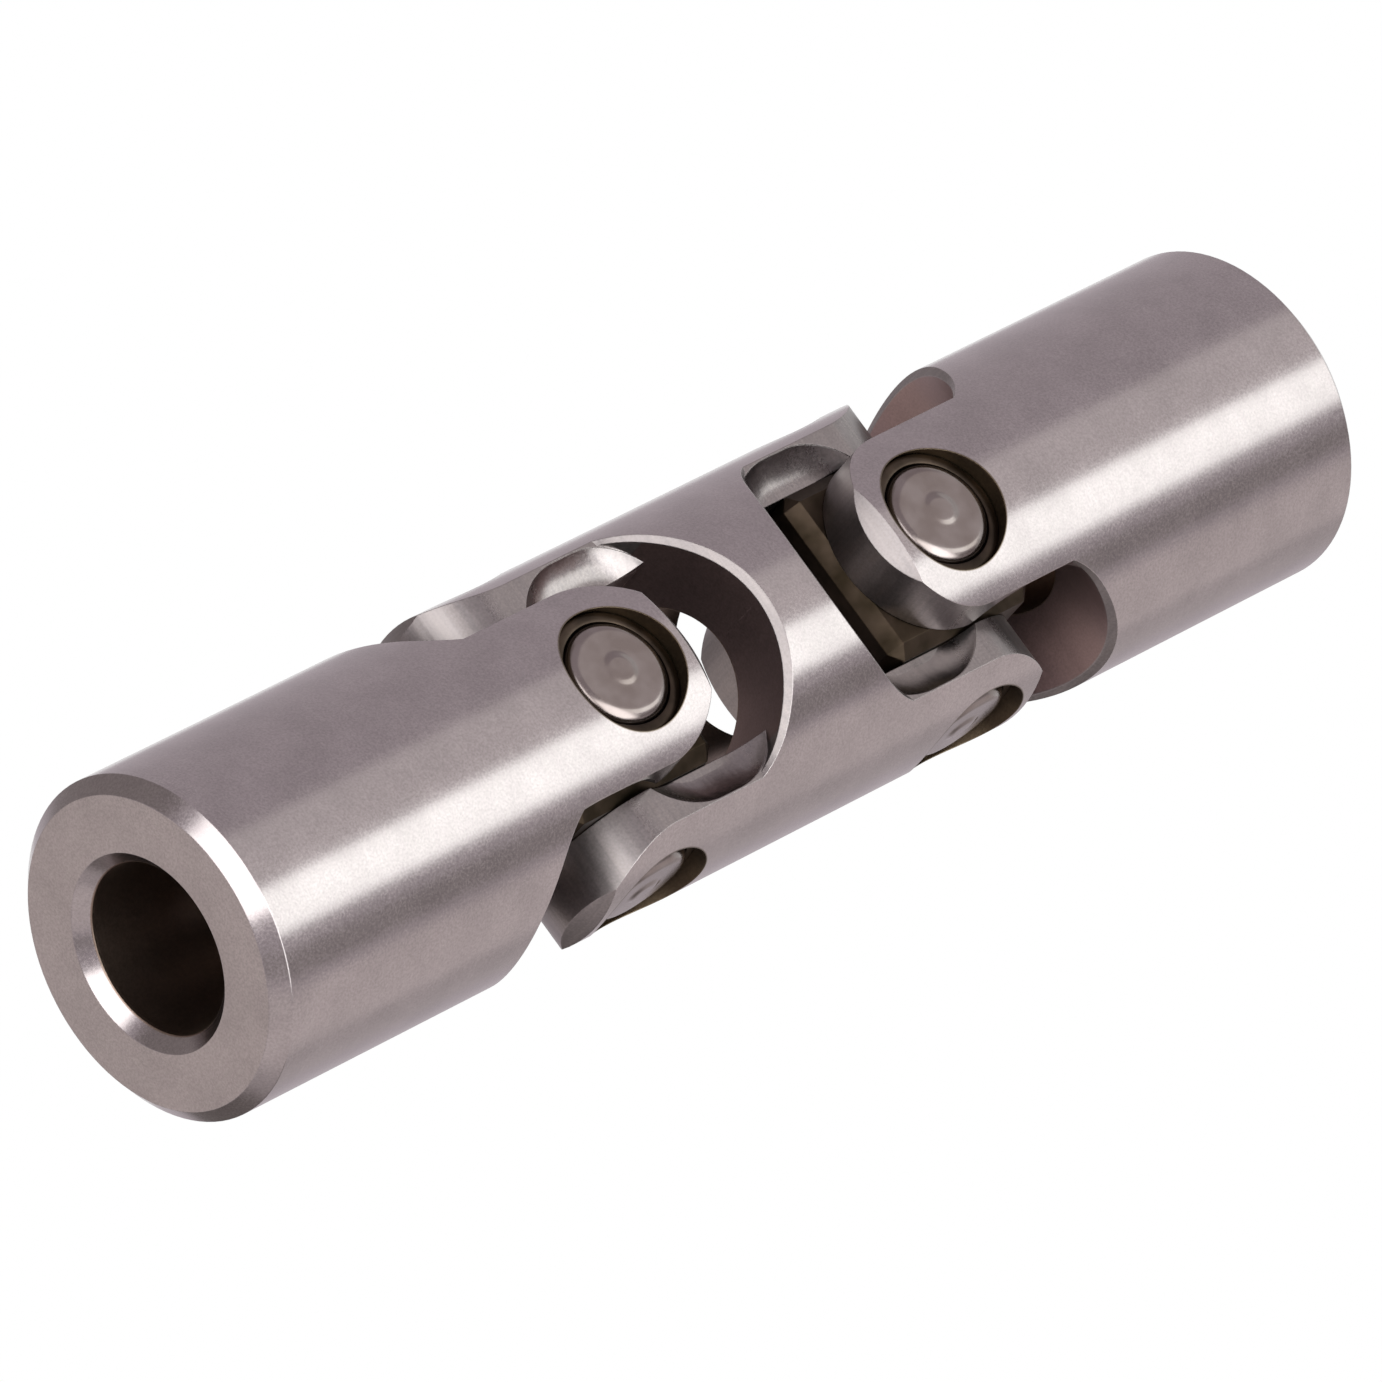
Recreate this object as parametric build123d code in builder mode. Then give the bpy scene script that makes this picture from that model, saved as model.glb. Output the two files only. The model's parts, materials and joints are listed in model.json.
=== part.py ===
from build123d import *
from math import hypot, sqrt
import os

# A double universal joint for 10 mm shafts: two end yokes, a double fork between them, and two crosses.
# Z runs along the shaft with the drive yoke on top. The origin is halfway between the two joints.
# The end yokes carry their pins along X, the double fork carries its pins along Y.

os.makedirs("parts", exist_ok=True)

# Forks, in millimetres
BAR_D = 20.0
SHAFT_BORE_D = 10.0
JOINT_SPACING = 26.0
PIN_TO_END = 31.0
END_CHAMFER = 0.9
BORE_CHAMFER = 0.8
# From a pin's centre to the milled ear tips, and how much longer the turned bar is before they are milled
EAR_REACH = 5.4
TIP_STOCK = 0.3
TIP_STOCK_CHAMFER = 1.3

# Centre block
BLOCK_SIZE = 11.5
BLOCK_CHAMFER = 0.8
BLOCK_CLEARANCE = 0.05

# Milling round each joint
SWING_CLEARANCE = 0.8
POCKET_CUTTER_R = 4.5
POCKET_OVERRUN = 0.1
POCKET_EDGE_BREAK = 0.4
RELIEF_DEPTH = 1.0
RELIEF_PAST_PIN = 0.8
RELIEF_RIM = 0.1

# Pins and bushes
PIN_D = 6.4
PIN_RECESS = 0.7
PIN_CHAMFER = 0.45
PIP_D = 2.6
PIP_TOP_D = 1.6
PIP_HEIGHT = 0.2
STUB_D = 3.0
PIN_END_GAP = 0.05
BUSH_D = 7.8
BUSH_RECESS = 1.1
RUNNING_CLEARANCE = 0.025

# How closely a point must lie on a surface to count as on it
TOLERANCE = 0.001

bar_r = BAR_D / 2
block_half = BLOCK_SIZE / 2
flank_half = block_half
slot_half = block_half + BLOCK_CLEARANCE
pocket_r = bar_r + SWING_CLEARANCE
stock_reach = EAR_REACH + TIP_STOCK
joint_height = JOINT_SPACING / 2
pin_reach = bar_r - PIN_RECESS
# Half the width of an ear's flank, where the flat meets the bar's round surface
flank_edge = sqrt(bar_r**2 - flank_half**2)

# Each joint seen from its end yoke: pins along x, the yoke's ears pointing along z
YOKE_JOINTS = {
    "drive": Plane((0, 0, joint_height), x_dir=(1, 0, 0), z_dir=(0, 0, -1)),
    "driven": Plane((0, 0, -joint_height), x_dir=(1, 0, 0), z_dir=(0, 0, 1)),
}


def across(joint):
    """The joint's plane seen along the other fork's pins: x along this fork's pins, y to the ear tips."""
    return Plane(joint.origin, x_dir=joint.x_dir, z_dir=joint.x_dir.cross(joint.z_dir))


def along_pins(joint):
    """The joint's plane seen along this fork's pins: x across the flanks, y to the ear tips."""
    return Plane(joint.origin, x_dir=joint.y_dir, z_dir=joint.x_dir)


def outer_rim(height):
    """The outer edge of the bar that is being built, at one height."""
    rims = edges().filter_by(GeomType.CIRCLE).filter_by(lambda rim: rim.radius > flank_edge)
    return rims.sort_by_distance((0, 0, height))[0]


def turned_bar(low, high):
    """The drilled bar that a fork is milled from, standing along Z."""
    with BuildSketch(Plane.XY.offset(low)) as ring:
        Circle(bar_r)
        Circle(SHAFT_BORE_D / 2, mode=Mode.SUBTRACT)
    extrude(ring.sketch, amount=high - low)


def wall_outline():
    """How deep the end mill goes round a joint: a wall round the crossing fork's pins, with the cutter's corners."""
    with BuildSketch() as outline:
        Circle(pocket_r)
        Rectangle(2 * (flank_edge + POCKET_OVERRUN), 2 * pocket_r, mode=Mode.INTERSECT)
        fillet(outline.vertices().group_by(Axis.Y)[0], POCKET_CUTTER_R)
    return outline.sketch


def milled_space(joint):
    """What is cut away round one joint: the ears are left standing, with room for block and crossing ears."""
    reach = 2 * BAR_D
    wall = wall_outline()
    with BuildPart() as space:
        # Everything outside the ears' outline, which has straight flanks and a slightly flattened round tip
        with BuildSketch(along_pins(joint)):
            with BuildLine():
                EllipticalCenterArc((0, 0), flank_half, EAR_REACH, start_angle=0, arc_size=180)
                Polyline((flank_half, 0), (flank_half, -reach), (reach, -reach), (reach, reach),
                         (-reach, reach), (-reach, -reach), (-flank_half, -reach), (-flank_half, 0))
            make_face()
        extrude(amount=reach, both=True)
        # The cut stops at the pocket's wall, and past the pins it is open
        with BuildSketch(across(joint)):
            add(wall)
            Rectangle(2 * reach, reach, align=(Align.CENTER, Align.MIN))
        extrude(amount=reach, both=True, mode=Mode.INTERSECT)
        # Slot between the ears, down to the same wall
        with BuildSketch(across(joint)):
            add(wall)
            Rectangle(2 * slot_half, 2 * pocket_r, mode=Mode.INTERSECT)
        extrude(amount=bar_r, both=True)
        # Rounded reliefs sunk into the flanks at the foot of each ear
        for way in (1, -1):
            with BuildSketch(across(joint).offset(way * (flank_half - RELIEF_DEPTH))) as relief:
                Circle(pocket_r)
                with Locations((0, RELIEF_PAST_PIN - pocket_r)):
                    Rectangle(2 * (flank_edge - RELIEF_RIM), 2 * pocket_r, mode=Mode.INTERSECT)
                fillet(relief.vertices(), POCKET_CUTTER_R)
            extrude(amount=way * 2 * RELIEF_DEPTH)
    return space.part


def on_pocket_rim(edge, joint):
    """Whether an edge is where the pocket's wall breaks through the bar's round surface."""
    points = [edge @ share for share in (0, 0.5, 1)]
    on_surface = all(abs(hypot(point.X, point.Y) - bar_r) < TOLERANCE for point in points)
    depth = -joint.to_local_coords(points[1]).Z
    return on_surface and edge.geom_type != GeomType.LINE and 0 < depth < pocket_r + TOLERANCE


def mill_fork(joint, space):
    """Mill one pair of ears into the bar that is being built, break the pocket's edges and bore the ears."""
    add(space, mode=Mode.SUBTRACT)
    chamfer([edge for edge in edges() if on_pocket_rim(edge, joint)], POCKET_EDGE_BREAK)
    with BuildSketch(along_pins(joint).offset(-bar_r)) as bush_seat:
        Circle(BUSH_D / 2)
    extrude(bush_seat.sketch, amount=BAR_D, mode=Mode.SUBTRACT)


def end_yoke(joint):
    """One end yoke: a hub with the shaft bore, and two ears round the joint."""
    end = joint.origin.Z - joint.z_dir.Z * PIN_TO_END
    tip = joint.origin.Z + joint.z_dir.Z * stock_reach
    space = milled_space(joint)
    with BuildPart() as yoke:
        turned_bar(min(end, tip), max(end, tip))
        chamfer(outer_rim(end), END_CHAMFER)
        chamfer(outer_rim(tip), TIP_STOCK_CHAMFER)
        mouth = yoke.edges().filter_by(GeomType.CIRCLE).filter_by(
            lambda rim: rim.radius < flank_half and abs(rim.center().Z - end) < END_CHAMFER)
        chamfer(mouth, BORE_CHAMFER)
        mill_fork(joint, space)
    return yoke.part


def centre_block(joint):
    """The block between four ears, bored right through both ways for the pins."""
    with BuildPart() as block:
        with Locations(joint.location):
            Box(BLOCK_SIZE, BLOCK_SIZE, BLOCK_SIZE)
        chamfer(block.edges(), BLOCK_CHAMFER)
        for direction in (joint.x_dir, joint.y_dir):
            with BuildSketch(Plane(joint.origin, z_dir=direction).offset(-block_half)):
                Circle(PIN_D / 2)
            extrude(amount=BLOCK_SIZE, mode=Mode.SUBTRACT)
    return block.part


def finish_pin_end(pin, end):
    """Chamfer a pin's end and leave the low pip in its middle. The end plane faces outwards."""
    rim = pin.edges().filter_by(GeomType.CIRCLE).sort_by_distance(end.origin + end.x_dir * PIN_D / 2)[0]
    chamfer(rim, PIN_CHAMFER)
    with Locations(end.location):
        Cone(PIP_D / 2, PIP_TOP_D / 2, PIP_HEIGHT, align=(Align.CENTER, Align.CENTER, Align.MIN))


def long_pin(joint):
    """The pin that runs through the block from ear to ear, cross-drilled for the short pins' stubs."""
    ends = [Plane(joint.origin, z_dir=joint.x_dir * way).offset(pin_reach) for way in (1, -1)]
    with BuildPart() as pin:
        with BuildSketch(ends[0]):
            Circle(PIN_D / 2)
        extrude(amount=-2 * pin_reach)
        for end in ends:
            finish_pin_end(pin, end)
        with BuildSketch(Plane(joint.origin, z_dir=joint.y_dir).offset(-PIN_D / 2)):
            Circle(STUB_D / 2)
        extrude(amount=PIN_D, mode=Mode.SUBTRACT)
    return pin.part


def short_pin(joint, way):
    """A pin from the block out to one ear, with a thin stub that is pressed into the long pin."""
    end = Plane(joint.origin, z_dir=joint.y_dir * way).offset(pin_reach)
    shoulder = PIN_D / 2 + PIN_END_GAP
    with BuildPart() as pin:
        with BuildSketch(end):
            Circle(PIN_D / 2)
        extrude(amount=shoulder - pin_reach)
        finish_pin_end(pin, end)
        with BuildSketch(end.offset(shoulder - pin_reach)):
            Circle(STUB_D / 2)
        extrude(amount=PIN_END_GAP - shoulder)
    return pin.part


def bush(joint_centre, outward):
    """A bush in one ear, level with the slot face inside and sunk below the bar's surface outside."""
    with BuildPart() as sleeve:
        with BuildSketch(Plane(joint_centre, z_dir=outward).offset(slot_half)):
            Circle(BUSH_D / 2)
            Circle(PIN_D / 2 + RUNNING_CLEARANCE, mode=Mode.SUBTRACT)
        extrude(amount=bar_r - BUSH_RECESS - slot_half)
    return sleeve.part


def name_side(direction):
    """The side of the coupling that a pin's end points to."""
    if abs(direction.X) > abs(direction.Y):
        return "right" if direction.X > 0 else "left"
    return "back" if direction.Y > 0 else "front"


pieces = {}
for joint_name, joint in YOKE_JOINTS.items():
    pieces[f"{joint_name}_yoke"] = end_yoke(joint)
    pieces[f"{joint_name}_centre_block"] = centre_block(joint)
    pieces[f"{joint_name}_long_pin"] = long_pin(joint)
    for way in (1, -1):
        pieces[f"{joint_name}_short_pin_{name_side(joint.y_dir * way)}"] = short_pin(joint, way)
        pieces[f"{joint_name}_yoke_bush_{name_side(joint.x_dir * way)}"] = bush(joint.origin, joint.x_dir * way)
        pieces[f"double_fork_bush_{joint_name}_{name_side(joint.y_dir * way)}"] = bush(joint.origin, joint.y_dir * way)

fork_joints = [Plane(joint.origin, x_dir=joint.y_dir, z_dir=-joint.z_dir) for joint in YOKE_JOINTS.values()]
fork_spaces = [milled_space(joint) for joint in fork_joints]
with BuildPart() as double_fork:
    fork_reach = joint_height + stock_reach
    turned_bar(-fork_reach, fork_reach)
    chamfer([outer_rim(-fork_reach), outer_rim(fork_reach)], TIP_STOCK_CHAMFER)
    for joint, space in zip(fork_joints, fork_spaces):
        mill_fork(joint, space)
pieces["double_fork"] = double_fork.part

for name, piece in pieces.items():
    piece.label = name
    export_step(piece, f"parts/{name}.step")
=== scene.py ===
"""A pinned double universal joint for 10 mm shafts, dressed for a plain studio picture.

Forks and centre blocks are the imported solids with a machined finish, and the forks' reliefs get a rounded
rise. Pins and bushes are modelled anew, with their crowned rims, pips and lead-ins. Lengths are in
millimetres until a mesh is made, then in metres.
"""

from __future__ import annotations

import json
import logging
import math
from collections.abc import Sequence
from dataclasses import dataclass
from enum import Enum

import bmesh
import bpy
from mathutils import Matrix, Vector

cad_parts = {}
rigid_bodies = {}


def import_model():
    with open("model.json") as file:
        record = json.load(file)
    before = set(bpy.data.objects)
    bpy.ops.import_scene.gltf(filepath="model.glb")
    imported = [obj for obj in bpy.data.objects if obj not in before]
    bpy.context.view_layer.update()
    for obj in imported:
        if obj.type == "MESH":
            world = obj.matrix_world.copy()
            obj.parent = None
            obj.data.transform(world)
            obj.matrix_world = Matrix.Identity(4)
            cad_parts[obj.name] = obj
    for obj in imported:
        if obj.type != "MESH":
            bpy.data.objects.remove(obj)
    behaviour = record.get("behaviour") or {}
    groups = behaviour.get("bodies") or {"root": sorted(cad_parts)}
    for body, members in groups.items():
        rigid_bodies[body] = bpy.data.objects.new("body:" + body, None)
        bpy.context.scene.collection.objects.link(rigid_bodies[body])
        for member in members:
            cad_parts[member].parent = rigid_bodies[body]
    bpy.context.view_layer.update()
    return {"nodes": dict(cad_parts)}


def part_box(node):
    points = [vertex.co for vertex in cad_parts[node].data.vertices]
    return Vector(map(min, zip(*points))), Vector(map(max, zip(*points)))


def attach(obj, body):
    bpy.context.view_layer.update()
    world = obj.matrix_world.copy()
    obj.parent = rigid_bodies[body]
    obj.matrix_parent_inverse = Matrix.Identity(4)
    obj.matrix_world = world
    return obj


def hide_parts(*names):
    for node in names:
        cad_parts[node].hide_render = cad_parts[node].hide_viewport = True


Tree = bpy.types.NodeTree
Node = bpy.types.Node
Socket = bpy.types.NodeSocket
Outputs = bpy.types.NodeOutputs
Solid = bpy.types.Object

LOG = logging.getLogger("double_joint")
MM = 0.001
WHITE = "#FFFFFF"
# Rays that the shading of a broken edge takes
EDGE_SAMPLES = 6
# How near in millimetres a point lies to a plane or a circle that it belongs to, and how squarely an end
# faces along its axis
PLANE_NEAR = 0.01
CIRCLE_NEAR = 0.02
END_FACING = 0.9
# Edges sharper than this many degrees stay sharp when a piece is shaded smooth
SHARP_ANGLE = 28.0


class Joint(Enum):
    """The two joints, by the height of their pins' crossing in millimetres."""

    DRIVE = 13.0
    DRIVEN = -13.0

    @property
    def word(self) -> str:
        """The joint's name as the solids' names have it."""
        return self.name.lower()

    @property
    def centre(self) -> Vector:
        """Where the joint's pins cross, in metres."""
        return Vector((0, 0, self.value * MM))


class Side(Enum):
    """The sides that a pin's end can point to, as directions in the frame."""

    LEFT = (-1.0, 0.0, 0.0)
    RIGHT = (1.0, 0.0, 0.0)
    FRONT = (0.0, -1.0, 0.0)
    BACK = (0.0, 1.0, 0.0)

    @property
    def word(self) -> str:
        """The side's name as the solids' names have it."""
        return self.name.lower()

    @property
    def turn(self) -> Matrix:
        """The rotation that lays a piece made along +Z along this direction."""
        return Vector(self.value).to_track_quat("Z", "Y").to_matrix().to_4x4()


def linear(code: str) -> tuple[float, float, float, float]:
    """Turn an sRGB hex code into the linear colour that a shader socket takes.

    Args:
        code: The colour as written for a screen, such as "#A2979B".

    Returns:
        Red, green, blue and an alpha of 1.
    """
    parts = [int(code[i:i + 2], 16) / 255 for i in (1, 3, 5)]
    red, green, blue = (p / 12.92 if p <= 0.04045 else ((p + 0.055) / 1.055) ** 2.4 for p in parts)
    return (red, green, blue, 1.0)


def add_node(tree: Tree, kind: str, inputs: dict | None = None, **settings: object) -> Node:
    """Add one node to a tree, with its settings, values and links.

    Args:
        tree: The node tree that gets the node.
        kind: The node's type name.
        inputs: What each input socket gets, by its name or number: a plain value, another node's output, or
            another node, which stands for the first of its outputs that is in use.
        **settings: The node's own properties.

    Returns:
        The new node.
    """
    made = tree.nodes.new(kind)
    for key, value in settings.items():
        setattr(made, key, value)
    for key, value in (inputs or {}).items():
        if isinstance(value, Node):
            value = next(output for output in value.outputs if output.enabled)
        if isinstance(value, Socket):
            tree.links.new(value, made.inputs[key])
        else:
            made.inputs[key].default_value = value
    return made


@dataclass(frozen=True)
class Span:
    """A stretch of values. One that runs downwards turns a mask round."""

    start: float
    end: float

    @property
    def source(self) -> dict[str, float]:
        """The inputs that say where a value comes from."""
        return {"From Min": self.start, "From Max": self.end}

    @property
    def goal(self) -> dict[str, float]:
        """The inputs that say where a value goes to."""
        return {"To Min": self.start, "To Max": self.end}


# The stretches that most of a noise's values lie in: for fine marks, and for clouds that reach both ends
GRAIN_BAND = Span(0.3, 0.7)
CLOUD_BAND = Span(0.35, 0.65)


def marked_normal(tree: Tree, marks: Node, depth: float, edge_radius: float) -> Node:
    """Break the edges in the shading and press fine marks into the surface.

    Args:
        tree: The material's tree.
        marks: The height of the marks.
        depth: How many metres a height of 1 stands for.
        edge_radius: The radius of the broken edges, in millimetres.

    Returns:
        The node that gives the normal.
    """
    broken_edge = add_node(tree, "ShaderNodeBevel", {"Radius": edge_radius * MM}, samples=EDGE_SAMPLES)
    return add_node(tree, "ShaderNodeBump", {
        "Strength": 1.0, "Distance": depth, "Height": marks, "Normal": broken_edge})


def close_metal(tree: Tree, inputs: dict) -> None:
    """Close a material's tree with bare metal that has the given inputs."""
    metal = add_node(tree, "ShaderNodeBsdfPrincipled", {"Metallic": 1.0, **inputs})
    add_node(tree, "ShaderNodeOutputMaterial", {"Surface": metal})


def new_material(name: str) -> bpy.types.Material:
    """Make an empty node material.

    Args:
        name: The material's name.

    Returns:
        A material whose tree holds no nodes yet.
    """
    made = bpy.data.materials.new(name)
    made.use_nodes = True
    made.node_tree.nodes.clear()
    return made


@dataclass(frozen=True)
class BarSteel:
    """Bright free-cutting steel bar, fine-turned outside, end-milled round the joints and drilled through.

    The turned skin gives a satin sheen with hardly a mark in it. The milled faces are duller and glint along
    the cutter's lines. The pockets' walls and the bore are browner and darker, and the bush seats darkest:
    partly oil, partly painted shade of the recesses.
    """

    name: str = "turned_free_cutting_steel"
    turned: str = "#A69F9F"
    turned_dark: str = "#A39B9C"
    milled: str = "#8F8887"
    milled_dark: str = "#868080"
    # Pocket walls and bore: browner and darker than the milled faces, partly oil and partly painted shade of
    # the recess
    pocket: str = "#8A7674"
    drilled: str = "#857469"
    # Bush seats: dark, partly oil and partly painted shade of the recess round the bush
    oily: str = "#5E5243"
    turned_roughness: float = 0.20
    milled_roughness: float = 0.24
    # Walls and ear tips, cut by the mill's flank, are duller than what its end has cut
    wall_roughness: float = 0.37
    drilled_roughness: float = 0.34
    # The turning feed, how deep its marks are, and how much slower they follow each other across an end face
    feed: float = 0.11
    feed_depth: float = 0.00010
    face_feed: float = 0.5
    # The satin grain left by polishing cloth, drawn about three times as coarse as it is so that it shows
    grain: float = 0.14
    grain_shade: Span = Span(0.90, 1.09)
    grain_roughness: Span = Span(-0.02, 0.03)
    # Slow changes of the tone, about every 3 mm
    cloud_scale: float = 0.35
    cloud_shade: Span = Span(0.94, 1.04)
    # The end mill leaves a cusp about every 0.25 mm, and chatters over a longer stretch
    cusp: float = 0.25
    cusp_depth: float = 0.0006
    chatter: float = 1.3
    chatter_depth: float = 0.014
    # How much slower the mill's lines change along themselves
    line_stretch: float = 0.15
    anisotropy: float = 0.2
    # A quarter of a turn, which lays the anisotropy across the tangent
    anisotropy_turn: float = 0.25
    edge_radius: float = 0.08
    pin_height: float = Joint.DRIVE.value
    # Where each mask begins and where it is full. Facings are a normal's share, the others millimetres.
    # The turned skin faces outwards, near the bar's radius of 10 mm, and the turned ends lie at 43 mm
    skin_facing: Span = Span(0.74, 0.80)
    skin_radius: Span = Span(9.0, 9.15)
    end_height: Span = Span(43.0, 43.1)
    # The bore's radius is 5 mm and the bush seats' is 3.9 mm
    bore_radius: Span = Span(5.1, 5.03)
    seat_radius: Span = Span(4.02, 3.91)
    # Walls face along the bar
    wall_facing: Span = Span(0.2, 0.6)
    # The pockets' walls do so nearly squarely, past the ears' reach of 5.4 mm and inside the edge's chamfer
    pocket_facing: Span = Span(0.76, 0.82)
    pocket_depth: Span = Span(5.5, 7.0)
    pocket_radius: Span = Span(9.58, 9.5)

    def make(self) -> bpy.types.Material:
        """Build the material.

        Returns:
            The finished material.
        """
        material = new_material(self.name)
        tree = material.node_tree
        coords = add_node(tree, "ShaderNodeTexCoord").outputs
        normal = coords["Normal"]
        place = add_node(tree, "ShaderNodeVectorMath", {0: coords["Object"], "Scale": 1 / MM},
                         operation="SCALE")
        xyz = add_node(tree, "ShaderNodeSeparateXYZ", {0: place}).outputs
        flat = add_node(tree, "ShaderNodeVectorMath", {0: place, 1: (1, 1, 0)}, operation="MULTIPLY")
        radius = add_node(tree, "ShaderNodeVectorMath", {0: flat}, operation="LENGTH")

        masks = self.masks(tree, normal, xyz, flat, radius)
        turned = masks["turned"]
        grooves = self.groove_pattern(tree, xyz, radius)
        cusps = self.cutter_lines(tree, place, normal, self.cusp)
        chatter = self.cutter_lines(tree, place, normal, self.chatter)
        clouds = add_node(tree, "ShaderNodeTexNoise", {
            "Vector": place, "Scale": self.cloud_scale, "Detail": 3.0})
        satin = add_node(tree, "ShaderNodeTexNoise", {
            "Vector": place, "Scale": 1 / self.grain, "Detail": 1.0})

        turned_tone = add_node(tree, "ShaderNodeMix", {
            "Factor": grooves, 6: linear(self.turned_dark), 7: linear(self.turned)}, data_type="RGBA")
        # Each layer covers what is under it where its mask is 1. The pocket, bore and seat layers carry
        # painted shade of the recesses as well as oil.
        layers = (
            (cusps, linear(self.milled)), (masks["pockets"], linear(self.pocket)), (turned, turned_tone),
            (masks["drilled"], linear(self.drilled)), (masks["seats"], linear(self.oily)))
        colour: object = linear(self.milled_dark)
        for share, layer in layers:
            colour = add_node(tree, "ShaderNodeMix", {"Factor": share, 6: colour, 7: layer}, data_type="RGBA")
        shade = add_node(tree, "ShaderNodeMapRange", {
            "Value": clouds, **CLOUD_BAND.source, **self.cloud_shade.goal})
        speckle = add_node(tree, "ShaderNodeMapRange", {
            "Value": satin, **GRAIN_BAND.source, **self.grain_shade.goal})
        shade = add_node(tree, "ShaderNodeMath", {0: shade, 1: speckle}, operation="MULTIPLY")
        colour = add_node(tree, "ShaderNodeVectorMath", {0: colour, "Scale": shade}, operation="SCALE")

        rough = add_node(tree, "ShaderNodeMapRange", {
            "Value": masks["walls"], "To Min": self.milled_roughness, "To Max": self.wall_roughness})
        for share, layer in ((turned, self.turned_roughness), (masks["drilled"], self.drilled_roughness)):
            rough = add_node(tree, "ShaderNodeMix", {"Factor": share, "A": rough, "B": layer})
        uneven = add_node(tree, "ShaderNodeMapRange", {
            "Value": satin, **GRAIN_BAND.source, **self.grain_roughness.goal})
        rough = add_node(tree, "ShaderNodeMath", {0: rough, 1: uneven}, operation="ADD")

        milling = add_node(tree, "ShaderNodeMath", {
            0: chatter, 1: self.chatter_depth / self.cusp_depth, 2: cusps}, operation="MULTIPLY_ADD")
        milling = add_node(tree, "ShaderNodeMath", {0: milling, 1: self.cusp_depth}, operation="MULTIPLY")
        turning = add_node(tree, "ShaderNodeMath", {0: grooves, 1: self.feed_depth}, operation="MULTIPLY")
        marks = add_node(tree, "ShaderNodeMix", {"Factor": turned, "A": milling, "B": turning})
        around = add_node(tree, "ShaderNodeTangent", direction_type="RADIAL", axis="Z")
        close_metal(tree, {
            "Base Color": colour, "Roughness": rough, "Anisotropic": self.anisotropy,
            "Anisotropic Rotation": self.anisotropy_turn, "Tangent": around,
            "Normal": marked_normal(tree, marks, MM, self.edge_radius)})
        return material

    def masks(self, tree: Tree, normal: Socket, xyz: Outputs, flat: Node, radius: Node) -> dict[str, Node]:
        """Mark the bar's surfaces by where they lie and how they face.

        Args:
            tree: The material's tree.
            normal: The surface's normal in the object's frame.
            xyz: The place's three parts, in millimetres.
            flat: The place with its height left out.
            radius: The distance from the bar's axis.

        Returns:
            Soft masks from 0 to 1, of which the material uses: turned, without the milled ear tips, drilled,
            seats, walls, and pockets, without the chamfer on their edge and the reliefs beside them.
        """
        outward = add_node(tree, "ShaderNodeVectorMath", {0: flat}, operation="NORMALIZE")
        facing = add_node(tree, "ShaderNodeVectorMath", {0: outward, 1: normal}, operation="DOT_PRODUCT")
        parts = add_node(tree, "ShaderNodeSeparateXYZ", {0: normal}).outputs
        endways = add_node(tree, "ShaderNodeMath", {0: parts["Z"]}, operation="ABSOLUTE")
        height = add_node(tree, "ShaderNodeMath", {0: xyz["Z"]}, operation="ABSOLUTE")
        above = add_node(tree, "ShaderNodeMath", {0: height, 1: self.pin_height}, operation="SUBTRACT")
        from_pin = add_node(tree, "ShaderNodeMath", {0: above}, operation="ABSOLUTE")
        reaches = []
        for part in ("X", "Y"):
            across = add_node(tree, "ShaderNodeCombineXYZ", {"X": xyz[part], "Y": above})
            reaches.append(add_node(tree, "ShaderNodeVectorMath", {0: across}, operation="LENGTH"))
        nearest = add_node(tree, "ShaderNodeMath", dict(enumerate(reaches)), operation="MINIMUM")

        limits = {
            "facing": (facing, self.skin_facing), "outside": (radius, self.skin_radius),
            "ends": (height, self.end_height), "drilled": (radius, self.bore_radius),
            "seats": (nearest, self.seat_radius), "walls": (endways, self.wall_facing),
            "square": (endways, self.pocket_facing), "deep": (from_pin, self.pocket_depth),
            "sunk": (radius, self.pocket_radius)}
        masks = {}
        for name, (value, span) in limits.items():
            masks[name] = add_node(tree, "ShaderNodeMapRange", {"Value": value, **span.source},
                                   interpolation_type="SMOOTHSTEP")
        skin = add_node(tree, "ShaderNodeMath", {0: masks["facing"], 1: masks["outside"]},
                        operation="MULTIPLY")
        masks["turned"] = add_node(tree, "ShaderNodeMath", {0: skin, 1: masks["ends"]}, operation="MAXIMUM")
        wall = add_node(tree, "ShaderNodeMath", {0: masks["deep"], 1: masks["sunk"]}, operation="MULTIPLY")
        masks["pockets"] = add_node(tree, "ShaderNodeMath", {0: wall, 1: masks["square"]},
                                    operation="MULTIPLY")
        return masks

    def groove_pattern(self, tree: Tree, xyz: Outputs, radius: Node) -> Node:
        """Lay fine turning marks round the bar, and as rings on its chamfers and end faces.

        Args:
            tree: The material's tree.
            xyz: The place's three parts.
            radius: The distance from the bar's axis.

        Returns:
            A noise from 0 to 1 that changes once every feed and slowly round the bar.
        """
        along = add_node(tree, "ShaderNodeMath", {0: radius, 1: self.face_feed, 2: xyz["Z"]},
                         operation="MULTIPLY_ADD")
        feeds = add_node(tree, "ShaderNodeMath", {0: along, 1: 1 / self.feed}, operation="MULTIPLY")
        stretched = add_node(tree, "ShaderNodeCombineXYZ", {"X": xyz["X"], "Y": xyz["Y"], "Z": feeds})
        grooves = add_node(tree, "ShaderNodeTexNoise", {"Vector": stretched, "Scale": 1.0, "Detail": 2.0})
        return add_node(tree, "ShaderNodeMapRange", {"Value": grooves, **GRAIN_BAND.source})

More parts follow.
